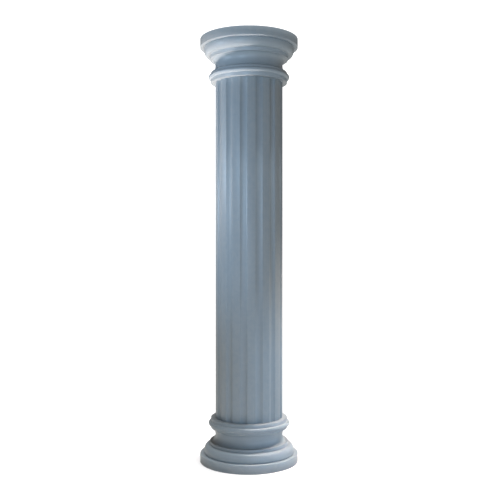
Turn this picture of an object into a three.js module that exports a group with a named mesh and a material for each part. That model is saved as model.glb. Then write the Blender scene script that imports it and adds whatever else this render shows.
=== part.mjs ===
// A round column that stands by itself: a moulded base, a straight fluted shaft and a moulded capital.
// Millimetres, +Z up. The origin is the middle of the underside.
import * as THREE from 'three';

// The whole column
const columnHeight = 2500;
const shaftRadius = 200;
const bedJoint = 0.3; // the gap between two blocks that rest on each other

// The flutes of the shaft
const fluteCount = 14;
const fluteWidth = 42; // across the two sharp edges of a flute
const fluteDepth = 6.6; // below the straight line between those edges

// The moulding that ends the shaft, the same in the capital and, turned over, in the base.
// Heights, from the shaft outwards
const neckFilletHeight = 20;
const beadHeight = 28;
const lowerFilletHeight = 12;
const scotiaHeight = 78;
const scotiaThroatToLip = 36; // from the narrowest place to the lip under the upper fillet
const upperFilletHeight = 20;
const ovoloHeight = 52;
const ovoloBellyToAbacus = 7.5; // from the widest place to the abacus
const abacusHeight = 50;

// How far each member stands out from the face of the shaft
const bandProjection = 26; // the neck fillet, the lower fillet and the foot of the scotia
const scotiaLipProjection = 23.5;
const ovoloProjection = 67.5; // at its widest
const abacusProjection = 90;

const beadProjection = 13.5; // beyond the band that it runs round
const upperFilletStep = 8.5; // beyond the lip of the scotia
const ovoloFootStep = 11.5; // beyond the upper fillet
const ovoloTuck = 3; // how far the ovolo draws in again under the abacus
const ovoloFullness = 0.58; // how square the ovolo turns out: 0.55 is an ellipse, and 1 a corner

// How finely the round shapes are cut into flat faces
const turns = 60;
const beadSteps = 8;
const scotiaSteps = 5; // in each of its two curves
const ovoloBellySteps = 2;
const ovoloTurnSteps = 6;
const fluteSteps = 3;

const mouldingHeight =
  neckFilletHeight +
  beadHeight +
  lowerFilletHeight +
  scotiaHeight +
  upperFilletHeight +
  ovoloHeight +
  abacusHeight;
const shaftLength = columnHeight - 2 * (mouldingHeight + bedJoint);
const shaftFoot = mouldingHeight + bedJoint;
const capitalFoot = shaftFoot + shaftLength + bedJoint;

const paint = new THREE.Color('#93a5b4');

function finish() {
  return new THREE.MeshStandardMaterial({ color: paint, roughness: 0.5, metalness: 0 });
}

// The points of an elliptical arc, without its first one
function arc(centre, radiusX, radiusY, from, to, steps) {
  const curve = new THREE.EllipseCurve(centre.x, centre.y, radiusX, radiusY, from, to, to < from);
  return curve.getPoints(steps).slice(1);
}

// The outline of the moulding, x out from the axis and y away from the shaft's end
function mouldingOutline() {
  const band = shaftRadius + bandProjection;
  const beadFoot = neckFilletHeight;
  const lowerFilletFoot = beadFoot + beadHeight;
  const scotiaFoot = lowerFilletFoot + lowerFilletHeight;
  const scotiaLip = scotiaFoot + scotiaHeight;
  const throat = scotiaLip - scotiaThroatToLip;
  const ovoloFoot = scotiaLip + upperFilletHeight;
  const soffit = ovoloFoot + ovoloHeight;
  const belly = soffit - ovoloBellyToAbacus;

  const lipRadius = shaftRadius + scotiaLipProjection;
  const upperFillet = lipRadius + upperFilletStep;
  const ovoloStart = upperFillet + ovoloFootStep;
  const ovoloBelly = shaftRadius + ovoloProjection;
  const ovoloNeck = ovoloBelly - ovoloTuck;
  const abacus = shaftRadius + abacusProjection;
  const halfTurn = Math.PI;
  const quarterTurn = Math.PI / 2;

  const outline = [
    new THREE.Vector2(0, 0),
    new THREE.Vector2(band, 0),
    new THREE.Vector2(band, beadFoot),
  ];

  const beadMiddle = new THREE.Vector2(band, beadFoot + beadHeight / 2);
  outline.push(...arc(beadMiddle, beadProjection, beadHeight / 2, -quarterTurn, quarterTurn, beadSteps));
  outline.push(new THREE.Vector2(band, scotiaFoot));

  // The scotia is two hollow curves that meet at the throat, in line with the face of the shaft
  const footCurve = new THREE.Vector2(band, throat);
  const footHeight = throat - scotiaFoot;
  outline.push(...arc(footCurve, bandProjection, footHeight, halfTurn + quarterTurn, halfTurn, scotiaSteps));
  const lipCurve = new THREE.Vector2(lipRadius, throat);
  outline.push(...arc(lipCurve, scotiaLipProjection, scotiaThroatToLip, halfTurn, quarterTurn, scotiaSteps));

  outline.push(new THREE.Vector2(upperFillet, scotiaLip));
  outline.push(new THREE.Vector2(upperFillet, ovoloFoot));

  // The ovolo overhangs the fillet, turns out to its belly, and a little in again under the abacus
  outline.push(new THREE.Vector2(ovoloStart, ovoloFoot));
  const turnOut = new THREE.CubicBezierCurve(
    new THREE.Vector2(ovoloStart, ovoloFoot),
    new THREE.Vector2(ovoloStart + (ovoloBelly - ovoloStart) * ovoloFullness, ovoloFoot),
    new THREE.Vector2(ovoloBelly, belly - (belly - ovoloFoot) * ovoloFullness),
    new THREE.Vector2(ovoloBelly, belly),
  );
  outline.push(...turnOut.getPoints(ovoloTurnSteps).slice(1));
  const turnIn = new THREE.QuadraticBezierCurve(
    new THREE.Vector2(ovoloBelly, belly),
    new THREE.Vector2(ovoloBelly, (belly + soffit) / 2),
    new THREE.Vector2(ovoloNeck, soffit),
  );
  outline.push(...turnIn.getPoints(ovoloBellySteps).slice(1));

  outline.push(new THREE.Vector2(abacus, soffit));
  outline.push(new THREE.Vector2(abacus, mouldingHeight));
  outline.push(new THREE.Vector2(0, mouldingHeight));
  return outline;
}

// A turned block stands with its axis on Z
function turned(name, outline) {
  const geometry = new THREE.LatheGeometry(outline, turns);
  geometry.rotateX(Math.PI / 2);
  const mesh = new THREE.Mesh(geometry, finish());
  mesh.name = name;
  return mesh;
}

function capital() {
  const mesh = turned('capital', mouldingOutline());
  mesh.position.z = capitalFoot;
  return mesh;
}

// The base is the moulding turned over, so its outline is read from the floor upwards
function base() {
  const outline = mouldingOutline().map((point) => new THREE.Vector2(point.x, mouldingHeight - point.y));
  return turned('base', outline.reverse());
}

// The section of the shaft: strips of the round face with a hollow flute between each two
function shaftSection() {
  const section = new THREE.Shape();
  const pitch = (2 * Math.PI) / fluteCount;
  const halfFlute = Math.asin(fluteWidth / 2 / shaftRadius);
  const halfStrip = pitch / 2 - halfFlute;

  // A flute is an arc through its two edges and its bottom, about a centre outside the shaft
  const chord = shaftRadius * Math.cos(halfFlute);
  const fluteRadius = (fluteWidth * fluteWidth) / (8 * fluteDepth) + fluteDepth / 2;
  const fluteCentre = chord - fluteDepth + fluteRadius;
  const fluteOpening = Math.asin(fluteWidth / 2 / fluteRadius);

  for (let index = 0; index < fluteCount; index += 1) {
    const stripMiddle = index * pitch - Math.PI / 2;
    section.absarc(0, 0, shaftRadius, stripMiddle - halfStrip, stripMiddle + halfStrip, false);
    const fluteMiddle = stripMiddle + pitch / 2;
    const inwards = fluteMiddle + Math.PI;
    section.absarc(
      fluteCentre * Math.cos(fluteMiddle),
      fluteCentre * Math.sin(fluteMiddle),
      fluteRadius,
      inwards + fluteOpening,
      inwards - fluteOpening,
      true,
    );
  }
  return section;
}

function shaft() {
  const geometry = new THREE.ExtrudeGeometry(shaftSection(), {
    depth: shaftLength,
    bevelEnabled: false,
    curveSegments: fluteSteps,
  });
  const mesh = new THREE.Mesh(geometry, finish());
  mesh.name = 'shaft';
  mesh.position.z = shaftFoot;
  return mesh;
}

const column = new THREE.Group();
column.add(base(), shaft(), capital());

export default column;
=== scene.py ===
"""Looks of a round fluted column in painted cast stone: its base, shaft and capital. Metres, +Z up."""

import math

import bpy
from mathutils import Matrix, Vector


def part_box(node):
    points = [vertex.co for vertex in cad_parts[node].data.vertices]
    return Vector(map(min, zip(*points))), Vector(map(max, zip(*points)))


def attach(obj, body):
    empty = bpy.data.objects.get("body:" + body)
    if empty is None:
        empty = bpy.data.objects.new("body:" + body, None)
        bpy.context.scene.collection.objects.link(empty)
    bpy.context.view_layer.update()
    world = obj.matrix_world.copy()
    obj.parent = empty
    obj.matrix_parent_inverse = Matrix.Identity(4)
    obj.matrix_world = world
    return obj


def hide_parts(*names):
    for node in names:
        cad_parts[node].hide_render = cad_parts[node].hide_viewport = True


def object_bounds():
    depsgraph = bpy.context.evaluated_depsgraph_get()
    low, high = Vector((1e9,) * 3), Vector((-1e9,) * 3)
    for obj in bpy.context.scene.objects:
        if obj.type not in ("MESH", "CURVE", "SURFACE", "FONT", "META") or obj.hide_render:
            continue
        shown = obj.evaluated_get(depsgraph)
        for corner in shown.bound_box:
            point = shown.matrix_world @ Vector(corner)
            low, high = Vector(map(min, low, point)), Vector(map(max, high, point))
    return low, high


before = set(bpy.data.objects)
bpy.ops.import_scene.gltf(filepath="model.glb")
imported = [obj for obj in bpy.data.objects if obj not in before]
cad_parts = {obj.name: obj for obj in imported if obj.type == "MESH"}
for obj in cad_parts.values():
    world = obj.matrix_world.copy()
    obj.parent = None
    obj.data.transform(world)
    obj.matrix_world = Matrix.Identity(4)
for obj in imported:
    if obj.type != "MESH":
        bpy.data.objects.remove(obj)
cad_low, cad_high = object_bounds()

# Where the three blocks stand, from the frame
base_low, base_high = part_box("base")
shaft_low, shaft_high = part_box("shaft")
capital_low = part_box("capital")[0]
PLINTH_RADIUS = base_high.y
SHAFT_RADIUS = shaft_high.y
MOULDING_HEIGHT = base_high.z - base_low.z

# Heights of the moulding's members, from the shaft outwards; the abacus or plinth takes what is left
NECK_FILLET = 0.020
BEAD = 0.028
LOWER_FILLET = 0.012
SCOTIA = 0.078
THROAT_TO_LIP = 0.036
UPPER_FILLET = 0.020
OVOLO = 0.052
BELLY_TO_SOFFIT = 0.0075

# How far the members stand out from the face of the shaft, and from each other
BAND_OUT = 0.026
BEAD_OUT = 0.0135
LIP_OUT = 0.0235
UPPER_FILLET_STEP = 0.0085
OVOLO_OUT = 0.0675
OVOLO_FOOT_STEP = 0.0115
OVOLO_TUCK = 0.003
OVOLO_FULLNESS = 0.58

# The flutes
FLUTES = 14
FLUTE_WIDTH = 0.042
FLUTE_DEPTH = 0.0066
CUTTER_OVERRUN = 0.05

# How finely the round shapes are cut, and how far their sharp edges are eased
TURNS = 192
BEAD_STEPS = 18
HOLLOW_STEPS = 14
OVOLO_STEPS = 14
TUCK_STEPS = 5
STRIP_FACETS = 24
CUTTER_FACETS = 120
EASED_EDGE = 0.0012
EASED_STEPS = 3
EASED_ABOVE = math.radians(28)
SMOOTH_BELOW = math.radians(32)


def arc(centre, out, up, start, end, steps):
    """The points of an elliptical arc, without its first one, by angle from level."""
    points = []
    for step in range(1, steps + 1):
        angle = start + (end - start) * step / steps
        points.append(Vector((centre[0] + out * math.cos(angle), centre[1] + up * math.sin(angle))))
    return points


def bezier(points, steps):
    """The points of a curve with three or four handles, without its first one."""
    made = []
    for step in range(1, steps + 1):
        level = [Vector(point) for point in points]
        while len(level) > 1:
            level = [a.lerp(b, step / steps) for a, b in zip(level, level[1:])]
        made.append(level[0])
    return made


def moulding_outline():
    """Radius and distance from the shaft's end, from the bearing face to the abacus's far face."""
    band = SHAFT_RADIUS + BAND_OUT
    lip = SHAFT_RADIUS + LIP_OUT
    upper_fillet = lip + UPPER_FILLET_STEP
    ovolo_start = upper_fillet + OVOLO_FOOT_STEP
    belly = SHAFT_RADIUS + OVOLO_OUT
    bead_top = NECK_FILLET + BEAD
    scotia_foot = bead_top + LOWER_FILLET
    scotia_lip = scotia_foot + SCOTIA
    throat = scotia_lip - THROAT_TO_LIP
    ovolo_foot = scotia_lip + UPPER_FILLET
    soffit = ovolo_foot + OVOLO
    belly_height = soffit - BELLY_TO_SOFFIT
    quarter = math.pi / 2

    outline = [Vector((band, 0)), Vector((band, NECK_FILLET))]
    outline += arc((band, NECK_FILLET + BEAD / 2), BEAD_OUT, BEAD / 2, -quarter, quarter, BEAD_STEPS)
    outline += [Vector((band, scotia_foot))]
    outline += arc((band, throat), BAND_OUT, throat - scotia_foot, 3 * quarter, 2 * quarter, HOLLOW_STEPS)
    outline += arc((lip, throat), LIP_OUT, THROAT_TO_LIP, 2 * quarter, quarter, HOLLOW_STEPS)
    outline += [Vector((upper_fillet, scotia_lip)), Vector((upper_fillet, ovolo_foot))]
    outline += [Vector((ovolo_start, ovolo_foot))]
    rise = (belly_height - ovolo_foot) * OVOLO_FULLNESS
    turn_out = [
        (ovolo_start, ovolo_foot),
        (ovolo_start + (belly - ovolo_start) * OVOLO_FULLNESS, ovolo_foot),
        (belly, belly_height - rise),
        (belly, belly_height),
    ]
    outline += bezier(turn_out, OVOLO_STEPS)
    turn_in = [(belly, belly_height), (belly, (belly_height + soffit) / 2), (belly - OVOLO_TUCK, soffit)]
    outline += bezier(turn_in, TUCK_STEPS)
    outline += [Vector((PLINTH_RADIUS, soffit)), Vector((PLINTH_RADIUS, MOULDING_HEIGHT))]
    return outline


def finish_piece(piece):
    """Eases the sharp edges, smooths the round faces and puts the piece's place in its mesh."""
    bpy.ops.object.transform_apply(location=True, rotation=True, scale=True)
    ease = piece.modifiers.new("eased_edges", "BEVEL")
    ease.width = EASED_EDGE
    ease.segments = EASED_STEPS
    ease.limit_method = "ANGLE"
    ease.angle_limit = EASED_ABOVE
    ease.harden_normals = True
    bpy.ops.object.modifier_apply(modifier=ease.name)
    bpy.ops.object.shade_smooth_by_angle(angle=SMOOTH_BELOW)


def turned_block(name, rings):
    """A block turned on the column's axis: a disc that is drawn up and widened or narrowed ring by ring."""
    bpy.ops.object.select_all(action="DESELECT")
    radius, height = rings[0]
    foot = (0, 0, height)
    bpy.ops.mesh.primitive_circle_add(vertices=TURNS, radius=radius, fill_type="NGON", location=foot)
    block = bpy.context.active_object
    block.name = name
    bpy.ops.object.mode_set(mode="EDIT")
    bpy.ops.mesh.select_all(action="SELECT")
    for next_radius, next_height in rings[1:]:
        rise = {"value": (0, 0, next_height - height)}
        bpy.ops.mesh.extrude_region_move(TRANSFORM_OT_translate=rise)
        share = next_radius / radius
        bpy.ops.transform.resize(value=(share, share, 1), center_override=(0, 0, next_height))
        radius, height = next_radius, next_height
    bpy.ops.mesh.select_all(action="SELECT")
    bpy.ops.mesh.normals_make_consistent(inside=False)
    bpy.ops.object.mode_set(mode="OBJECT")
    finish_piece(block)
    return block


def make_base():
    rings = [(point.x, base_high.z - point.y) for point in reversed(moulding_outline())]
    return turned_block("base_turned", rings)


def make_capital():
    rings = [(point.x, capital_low.z + point.y) for point in moulding_outline()]
    return turned_block("capital_turned", rings)


def flute_cutter(middle):
    """The round bar whose side hollows one flute, whose middle is at that angle round the shaft."""
    half_flute = math.asin(FLUTE_WIDTH / 2 / SHAFT_RADIUS)
    radius = FLUTE_WIDTH ** 2 / (8 * FLUTE_DEPTH) + FLUTE_DEPTH / 2
    away = SHAFT_RADIUS * math.cos(half_flute) - FLUTE_DEPTH + radius
    length = shaft_high.z - shaft_low.z + 2 * CUTTER_OVERRUN
    place = (away * math.cos(middle), away * math.sin(middle), (shaft_low.z + shaft_high.z) / 2)
    bpy.ops.mesh.primitive_cylinder_add(
        vertices=CUTTER_FACETS, radius=radius, depth=length, location=place, rotation=(0, 0, middle)
    )
    return bpy.context.active_object


def make_shaft():
    """A plain drum with fourteen round bars cut out of its side."""
    bpy.ops.object.select_all(action="DESELECT")
    pitch = 2 * math.pi / FLUTES
    cutters = [flute_cutter((index + 0.5) * pitch - math.pi / 2) for index in range(FLUTES)]
    bpy.ops.object.select_all(action="DESELECT")
    for cutter in cutters:
        cutter.select_set(True)
    bpy.context.view_layer.objects.active = cutters[0]
    bpy.ops.object.join()
    cutter = bpy.context.active_object

    bpy.ops.object.select_all(action="DESELECT")
    bpy.ops.mesh.primitive_cylinder_add(
        vertices=FLUTES * STRIP_FACETS,
        radius=SHAFT_RADIUS,
        depth=shaft_high.z - shaft_low.z,
        location=(0, 0, (shaft_low.z + shaft_high.z) / 2),
    )
    shaft = bpy.context.active_object
    shaft.name = "shaft_fluted"
    cut = shaft.modifiers.new("flutes", "BOOLEAN")
    cut.operation = "DIFFERENCE"
    cut.solver = "EXACT"
    cut.object = cutter
    bpy.ops.object.modifier_apply(modifier=cut.name)
    bpy.data.objects.remove(cutter)
    finish_piece(shaft)
    return shaft


# How soon a bend in the surface counts as a full arris or crease
BEND_GAIN = 6


def mark_edges(piece):
    """Stores how far each point stands out (arris) or lies in a corner (crease), for wear on the arrises
    and painted shade in the corners.
    """
    mesh = piece.data
    lean = [0.0] * len(mesh.vertices)
    count = [0] * len(mesh.vertices)
    for edge in mesh.edges:
        a, b = edge.vertices
        along = (mesh.vertices[b].co - mesh.vertices[a].co).normalized()
        lean[a] -= mesh.vertices[a].normal.dot(along)
        lean[b] += mesh.vertices[b].normal.dot(along)
        count[a] += 1
        count[b] += 1
    arris = mesh.attributes.new("arris", "FLOAT", "POINT")
    crease = mesh.attributes.new("crease", "FLOAT", "POINT")
    for index, total in enumerate(lean):
        bent = total / max(count[index], 1)
        arris.data[index].value = max(0.0, min(1.0, bent * BEND_GAIN))
        crease.data[index].value = max(0.0, min(1.0, -bent * BEND_GAIN))


base = make_base()
shaft = make_shaft()
capital = make_capital()

PIECES = {
    "base": (base, "base_stone"),
    "shaft": (shaft, "shaft_stone"),
    "capital": (capital, "capital_stone"),
}


# Node groups that every finish shares
def new_group(name, inputs, outputs):
    group = bpy.data.node_groups.new(name, "ShaderNodeTree")
    for label, value in inputs:
        socket = group.interface.new_socket(name=label, in_out="INPUT", socket_type="NodeSocketFloat")
        socket.default_value = value
    for label in outputs:
        group.interface.new_socket(name=label, in_out="OUTPUT", socket_type="NodeSocketFloat")
    return group, group.nodes.new("NodeGroupInput"), group.nodes.new("NodeGroupOutput")


def add_node(tree, kind, **settings):
    node = tree.nodes.new(kind)
    for label, value in settings.items():
        setattr(node, label, value)
    return node


def even_noise(tree, group_in, scale_label, detail):
    """Noise on Object coordinates."""
    coordinates = add_node(tree, "ShaderNodeTexCoord")
    noise = add_node(tree, "ShaderNodeTexNoise")
    noise.inputs["Detail"].default_value = detail
    tree.links.new(coordinates.outputs["Object"], noise.inputs["Vector"])
    tree.links.new(group_in.outputs[scale_label], noise.inputs["Scale"])
    return noise


def ramp(tree, source, low, high):
    """Turns a value between low and high into 0 to 1, softly."""
    spread = add_node(tree, "ShaderNodeMapRange", interpolation_type="SMOOTHSTEP")
    spread.inputs["From Min"].default_value = low
    spread.inputs["From Max"].default_value = high
    tree.links.new(source, spread.inputs["Value"])
    return spread.outputs["Result"]


def multiply(tree, first, second):
    product = add_node(tree, "ShaderNodeMath", operation="MULTIPLY")
    tree.links.new(first, product.inputs[0])
    tree.links.new(second, product.inputs[1])
    return product.outputs["Value"]


def cloud_group():
    """Broad uneven patches, as a coat of paint dries."""
    tree, group_in, group_out = new_group("paint_clouds", [("Scale", 3.0)], ["Amount"])
    noise = even_noise(tree, group_in, "Scale", 3.0)
    tree.links.new(ramp(tree, noise.outputs["Fac"], 0.3, 0.7), group_out.inputs["Amount"])
    return tree


def brush_group():
    """Faint marks of the brush: across it they are fine, and along it they are drawn out.

    Around is how often they change in a turn round the axis, and Along how often in a metre of height
    or of radius, so a shaft that is brushed upwards has a high Around and a turned block a high Along.
    """
    tree, group_in, group_out = new_group("brush_marks", [("Around", 1.0), ("Along", 1.0)], ["Amount"])
    coordinates = add_node(tree, "ShaderNodeTexCoord")
    split = add_node(tree, "ShaderNodeSeparateXYZ")
    flat = add_node(tree, "ShaderNodeCombineXYZ")
    direction = add_node(tree, "ShaderNodeVectorMath", operation="NORMALIZE")
    radius = add_node(tree, "ShaderNodeVectorMath", operation="LENGTH")
    turned = add_node(tree, "ShaderNodeVectorMath", operation="SCALE")
    height = multiply(tree, split.outputs["Z"], group_in.outputs["Along"])
    depth = multiply(tree, radius.outputs["Value"], group_in.outputs["Along"])
    lift = add_node(tree, "ShaderNodeCombineXYZ")
    place = add_node(tree, "ShaderNodeVectorMath", operation="ADD")
    noise = add_node(tree, "ShaderNodeTexNoise", noise_dimensions="4D")
    noise.inputs["Scale"].default_value = 1.0
    noise.inputs["Detail"].default_value = 2.0
    tree.links.new(coordinates.outputs["Object"], split.inputs["Vector"])
    tree.links.new(split.outputs["X"], flat.inputs["X"])
    tree.links.new(split.outputs["Y"], flat.inputs["Y"])
    tree.links.new(flat.outputs["Vector"], direction.inputs[0])
    tree.links.new(flat.outputs["Vector"], radius.inputs[0])
    tree.links.new(direction.outputs["Vector"], turned.inputs[0])
    tree.links.new(group_in.outputs["Around"], turned.inputs["Scale"])
    tree.links.new(height, lift.inputs["Z"])
    tree.links.new(turned.outputs["Vector"], place.inputs[0])
    tree.links.new(lift.outputs["Vector"], place.inputs[1])
    tree.links.new(place.outputs["Vector"], noise.inputs["Vector"])
    tree.links.new(depth, noise.inputs["W"])
    tree.links.new(ramp(tree, noise.outputs["Fac"], 0.35, 0.65), group_out.inputs["Amount"])
    return tree


def grain_group():
    """The fine grain of the stone that the paint lets through."""
    tree, group_in, group_out = new_group("stone_grain", [("Scale", 320.0)], ["Height"])
    noise = even_noise(tree, group_in, "Scale", 5.0)
    tree.links.new(noise.outputs["Fac"], group_out.inputs["Height"])
    return tree


def edge_group():
    """Where handling has thinned the paint on an arris, and where a corner is darkened with painted shade.
    """
    tree, group_in, group_out = new_group("arris_and_crease", [("Scale", 35.0)], ["Worn", "Painted Shade"])
    noise = even_noise(tree, group_in, "Scale", 4.0)
    patches = ramp(tree, noise.outputs["Fac"], 0.35, 0.65)
    arris = add_node(tree, "ShaderNodeAttribute", attribute_name="arris")
    crease = add_node(tree, "ShaderNodeAttribute", attribute_name="crease")
    tree.links.new(multiply(tree, arris.outputs["Fac"], patches), group_out.inputs["Worn"])
    tree.links.new(multiply(tree, crease.outputs["Fac"], patches), group_out.inputs["Painted Shade"])
    return tree


def dust_group():
    """Dust that lies on what faces up."""
    tree, group_in, group_out = new_group("settled_dust", [("Scale", 14.0)], ["Amount"])
    noise = even_noise(tree, group_in, "Scale", 5.0)
    geometry = add_node(tree, "ShaderNodeNewGeometry")
    split = add_node(tree, "ShaderNodeSeparateXYZ")
    tree.links.new(geometry.outputs["Normal"], split.inputs["Vector"])
    up = ramp(tree, split.outputs["Z"], 0.55, 1.0)
    patches = ramp(tree, noise.outputs["Fac"], 0.3, 0.7)
    tree.links.new(multiply(tree, up, patches), group_out.inputs["Amount"])
    return tree


CLOUDS = cloud_group()
BRUSH = brush_group()
GRAIN = grain_group()
EDGES = edge_group()
DUST = dust_group()

# The paint's colours, linear
PAINT = (0.233, 0.290, 0.334, 1)
PAINT_DRIFT = (0.220, 0.277, 0.322, 1)
PAINT_BRUSHED = (0.245, 0.303, 0.347, 1)
PAINT_WORN = (0.34, 0.365, 0.38, 1)
# Painted shade: a darker colour for corners and creases, standing in for the shade that falls there
CREASE_SHADE = (0.13, 0.145, 0.155, 1)
DUST_COLOUR = (0.36, 0.37, 0.37, 1)

# Its gloss
SATIN_LOW = 0.35
SATIN_HIGH = 0.39

# How strongly the painted shade in the corners, the wear and the dust cover it
CREASE_SHADE_COVER = 0.4
WORN_COVER = 0.4
DUST_COVER = 0.25

# How much of the stone's grain it lets through
GRAIN_STRENGTH = 0.3
GRAIN_DEPTH = 0.0004


def place_group(tree, group, **values):
    node = add_node(tree, "ShaderNodeGroup", node_tree=group)
    for label, value in values.items():
        node.inputs[label].default_value = value
    return node


def tint(tree, under, over, mask, strength):
    """Lays a colour over another, a plain one or a socket's, where the mask is, up to that strength."""
    amount = add_node(tree, "ShaderNodeMath", operation="MULTIPLY")
    amount.inputs[1].default_value = strength
    tree.links.new(mask, amount.inputs[0])
    mix = add_node(tree, "ShaderNodeMix", data_type="RGBA")
    tree.links.new(amount.outputs["Value"], mix.inputs["Factor"])
    if isinstance(under, tuple):
        mix.inputs[6].default_value = under
    else:
        tree.links.new(under, mix.inputs[6])
    mix.inputs[7].default_value = over
    return mix.outputs[2]


def painted_stone(name, cloud_scale, around, along, brush_strength):
    """Cast stone under a satin blue-grey paint."""
    material = bpy.data.materials.new(name)
    material.use_nodes = True
    tree = material.node_tree
    shader = tree.nodes["Principled BSDF"]
    clouds = place_group(tree, CLOUDS, Scale=cloud_scale)
    brush = place_group(tree, BRUSH, Around=around, Along=along)
    grain = place_group(tree, GRAIN)
    edges = place_group(tree, EDGES)
    dust = place_group(tree, DUST)

    colour = tint(tree, PAINT, PAINT_DRIFT, clouds.outputs["Amount"], 1.0)
    colour = tint(tree, colour, PAINT_BRUSHED, brush.outputs["Amount"], brush_strength)
    # Painted shade: darker in the corners and creases, in patches
    colour = tint(tree, colour, CREASE_SHADE, edges.outputs["Painted Shade"], CREASE_SHADE_COVER)
    colour = tint(tree, colour, PAINT_WORN, edges.outputs["Worn"], WORN_COVER)
    colour = tint(tree, colour, DUST_COLOUR, dust.outputs["Amount"], DUST_COVER)
    tree.links.new(colour, shader.inputs["Base Color"])

    sheen = add_node(tree, "ShaderNodeMapRange")
    sheen.inputs["To Min"].default_value = SATIN_LOW
    sheen.inputs["To Max"].default_value = SATIN_HIGH
    tree.links.new(clouds.outputs["Amount"], sheen.inputs["Value"])
    tree.links.new(sheen.outputs["Result"], shader.inputs["Roughness"])

    bump = add_node(tree, "ShaderNodeBump")
    bump.inputs["Strength"].default_value = GRAIN_STRENGTH
    bump.inputs["Distance"].default_value = GRAIN_DEPTH
    tree.links.new(grain.outputs["Height"], bump.inputs["Height"])
    tree.links.new(bump.outputs["Normal"], shader.inputs["Normal"])
    return material


FINISHES = {
    "base": painted_stone("base_paint", 3.5, 1.5, 160.0, 0.5),
    "shaft": painted_stone("shaft_paint", 2.2, 45.0, 1.2, 0.6),
    "capital": painted_stone("capital_paint", 3.5, 1.5, 160.0, 0.5),
}

for node, (piece, slot) in PIECES.items():
    mark_edges(piece)
    piece.data.materials.clear()
    piece.data.materials.append(FINISHES[node])
    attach(piece, "root")
    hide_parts(node)

# The floor
FLOOR_RADIUS = 60.0
FLOOR_SIDES = 96
FLOOR_SEEN = (0.85, 0.85, 0.85, 1)
FLOOR_DIM = (0.46, 0.45, 0.43, 1)
bpy.ops.object.select_all(action="DESELECT")
bpy.ops.mesh.primitive_circle_add(vertices=FLOOR_SIDES, radius=FLOOR_RADIUS, fill_type="NGON")
floor = bpy.context.active_object
floor.name = "floor"


def floor_paper():
    """Pale paper that is white to the eye but throws less of its light back up at the column."""
    material = bpy.data.materials.new("floor_paper")
    material.use_nodes = True
    tree = material.node_tree
    tree.nodes.clear()
    pale = add_node(tree, "ShaderNodeBsdfDiffuse")
    pale.inputs["Color"].default_value = FLOOR_SEEN
    dim = add_node(tree, "ShaderNodeBsdfDiffuse")
    dim.inputs["Color"].default_value = FLOOR_DIM
    rays = add_node(tree, "ShaderNodeLightPath")
    pick = add_node(tree, "ShaderNodeMixShader")
    surface = add_node(tree, "ShaderNodeOutputMaterial")
    tree.links.new(rays.outputs["Is Camera Ray"], pick.inputs["Fac"])
    tree.links.new(dim.outputs["BSDF"], pick.inputs[1])
    tree.links.new(pale.outputs["BSDF"], pick.inputs[2])
    tree.links.new(pick.outputs["Shader"], surface.inputs["Surface"])
    return material


floor.data.materials.append(floor_paper())


def softbox(name, place, target, width, height, watts, colour, spread):
    """A soft lamp that faces a point, isn't seen itself and shines within that angle, in degrees."""
    lamp = bpy.data.lights.new(name, "AREA")
    lamp.shape = "RECTANGLE"
    lamp.size = width
    lamp.size_y = height
    lamp.energy = watts
    lamp.color = colour
    lamp.spread = math.radians(spread)
    holder = bpy.data.objects.new(name, lamp)
    bpy.context.scene.collection.objects.link(holder)
    holder.location = place
    aim = Vector(target) - Vector(place)
    holder.rotation_euler = aim.to_track_quat("-Z", "Y").to_euler()
    holder.visible_camera = False
    return holder


def overhead_lamp(name, strength, angle):
    """A wide even light from straight above, which whitens the floor as far as it goes."""
    lamp = bpy.data.lights.new(name, "SUN")
    lamp.energy = strength
    lamp.angle = math.radians(angle)
    holder = bpy.data.objects.new(name, lamp)
    bpy.context.scene.collection.objects.link(holder)


def cone_lamp(name, place, target, cone, watts, colour):
    """A soft round lamp that faces a point, isn't seen itself and shines within that cone, in degrees."""
    lamp = bpy.data.lights.new(name, "SPOT")
    lamp.energy = watts
    lamp.color = colour
    lamp.spot_size = math.radians(cone)
    lamp.spot_blend = CONE_BLEND
    lamp.shadow_soft_size = CONE_RADIUS
    holder = bpy.data.objects.new(name, lamp)
    bpy.context.scene.collection.objects.link(holder)
    holder.location = place
    aim = Vector(target) - Vector(place)
    holder.rotation_euler = aim.to_track_quat("-Z", "Y").to_euler()
    holder.visible_camera = False


# The upper half is lit from the left and the lower half from the right, so each lamp on the left has a
# weaker twin on the right: for a cone it stands level with the lower half, and for a low lamp it hangs
# as far above the base as the first one stands below the capital
CAPITAL_MIDDLE = Vector((0, 0, capital_low.z + MOULDING_HEIGHT / 2))
BASE_MIDDLE = Vector((0, 0, base_low.z + MOULDING_HEIGHT / 2))
UPPER_HALF = Vector((0, 0, cad_high.z * 0.688))
UPPER_CONE = 37
LOWER_HALF = Vector((0, 0, cad_high.z * 0.136))
LOWER_CONE = 22
CONE_BLEND = 0.3
CONE_RADIUS = 0.24
CONE_REACH = 3.0
CONE_TWIN_SHARE = 0.75
LOW_REACH = 2.3
LOW_TWIN_SHARE = 0.9
FILL_TARGET = Vector((0, 0, cad_high.z * 0.44))
FILL_PLACE = FILL_TARGET + Vector((0, -4, 0))


def lamp_offset(azimuth, elevation, reach):
    """How far off a lamp stands, by its azimuth from the front, its elevation and its reach."""
    turn = math.radians(azimuth)
    rise = math.radians(elevation)
    level = reach * math.cos(rise)
    return Vector((level * math.sin(turn), -level * math.cos(turn), reach * math.sin(rise)))


def cone_pair(name, azimuth, elevation, watts, colour):
    """Two cones, each of which lights one half of the column as far as about its middle."""
    offset = lamp_offset(azimuth, elevation, CONE_REACH)
    twin = Vector((-offset.x, offset.y, 0))
    cone_lamp(name + "_upper", UPPER_HALF + offset, UPPER_HALF, UPPER_CONE, watts, colour)
    cone_lamp(name + "_lower", LOWER_HALF + twin, LOWER_HALF, LOWER_CONE, watts * CONE_TWIN_SHARE, colour)


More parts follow.
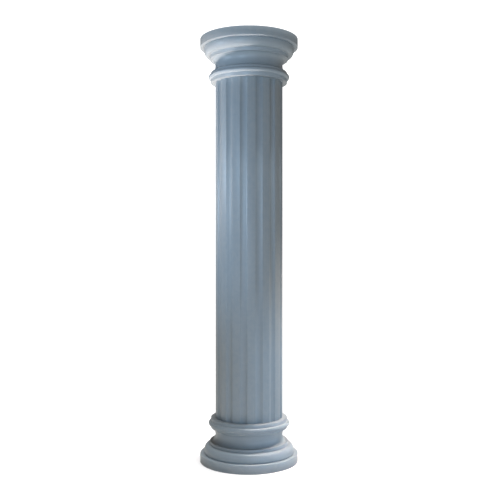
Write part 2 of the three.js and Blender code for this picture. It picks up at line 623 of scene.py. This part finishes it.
def streak_pair(name, azimuth, elevation, width, spread, watts, colour):
    """Two small lamps, one below the capital and one above the base, which leave no reflection."""
    offset = lamp_offset(azimuth, elevation, LOW_REACH)
    twin = Vector((-offset.x, offset.y, -offset.z))
    ends = [
        ("_upper", CAPITAL_MIDDLE, offset, watts),
        ("_lower", BASE_MIDDLE, twin, watts * LOW_TWIN_SHARE),
    ]
    for end, middle, step, power in ends:
        lamp = softbox(name + end, middle + step, middle, width, width, power, colour, spread)
        lamp.visible_glossy = False


overhead_lamp("overhead", 4.7, 8)
streak_pair("streak", -108, -60, 0.7, 20, 4.4, (1.0, 0.8, 0.7))
cone_pair("side", -76, 6, 114, (0.57, 0.77, 1.0))
cone_pair("front", -26, 6, 84, (0.52, 0.74, 1.0))
softbox("fill", FILL_PLACE, FILL_TARGET, 1.2, 2.0, 9, (0.58, 0.74, 1.0), 120)

# The surroundings: white to the eye, and a weak light on the object
SEEN_STRENGTH = 1.4  # as bright as the lit floor, so the outline is even past the floor's far edge
LIT_COLOUR = (1.0, 0.877, 0.773, 1)
LIT_STRENGTH = 0.2
world = bpy.data.worlds.new("studio")
bpy.context.scene.world = world
world.use_nodes = True
world_tree = world.node_tree
world_tree.nodes.clear()
seen = world_tree.nodes.new("ShaderNodeBackground")
seen.inputs["Color"].default_value = (1, 1, 1, 1)
seen.inputs["Strength"].default_value = SEEN_STRENGTH
lit = world_tree.nodes.new("ShaderNodeBackground")
lit.inputs["Color"].default_value = LIT_COLOUR
lit.inputs["Strength"].default_value = LIT_STRENGTH
world_rays = world_tree.nodes.new("ShaderNodeLightPath")
world_pick = world_tree.nodes.new("ShaderNodeMixShader")
world_out = world_tree.nodes.new("ShaderNodeOutputWorld")
world_tree.links.new(world_rays.outputs["Is Camera Ray"], world_pick.inputs["Fac"])
world_tree.links.new(lit.outputs["Background"], world_pick.inputs[1])
world_tree.links.new(seen.outputs["Background"], world_pick.inputs[2])
world_tree.links.new(world_pick.outputs["Shader"], world_out.inputs["Surface"])

# The camera stands level with the column's middle, a little left of the front strip of the shaft
FRAME_PIXELS = 500
SENSOR = 36.0
COLUMN_PIXELS = 97.6  # the abacus's width in the picture
CAMERA_DISTANCE = 15.0 * PLINTH_RADIUS
CAMERA_TURN = math.radians(-3.9)
focal_pixels = COLUMN_PIXELS / 2 * math.sqrt((CAMERA_DISTANCE / PLINTH_RADIUS) ** 2 - 1)
camera_data = bpy.data.cameras.new("camera")
camera_data.sensor_width = SENSOR
camera_data.lens = focal_pixels / FRAME_PIXELS * SENSOR
camera_data.clip_end = 200
camera = bpy.data.objects.new("camera", camera_data)
bpy.context.scene.collection.objects.link(camera)
camera.location = (
    CAMERA_DISTANCE * math.sin(CAMERA_TURN),
    -CAMERA_DISTANCE * math.cos(CAMERA_TURN),
    cad_high.z / 2,
)
camera.rotation_euler = (math.pi / 2, 0, CAMERA_TURN)
bpy.context.scene.camera = camera
bpy.context.scene.view_settings.view_transform = "Standard"
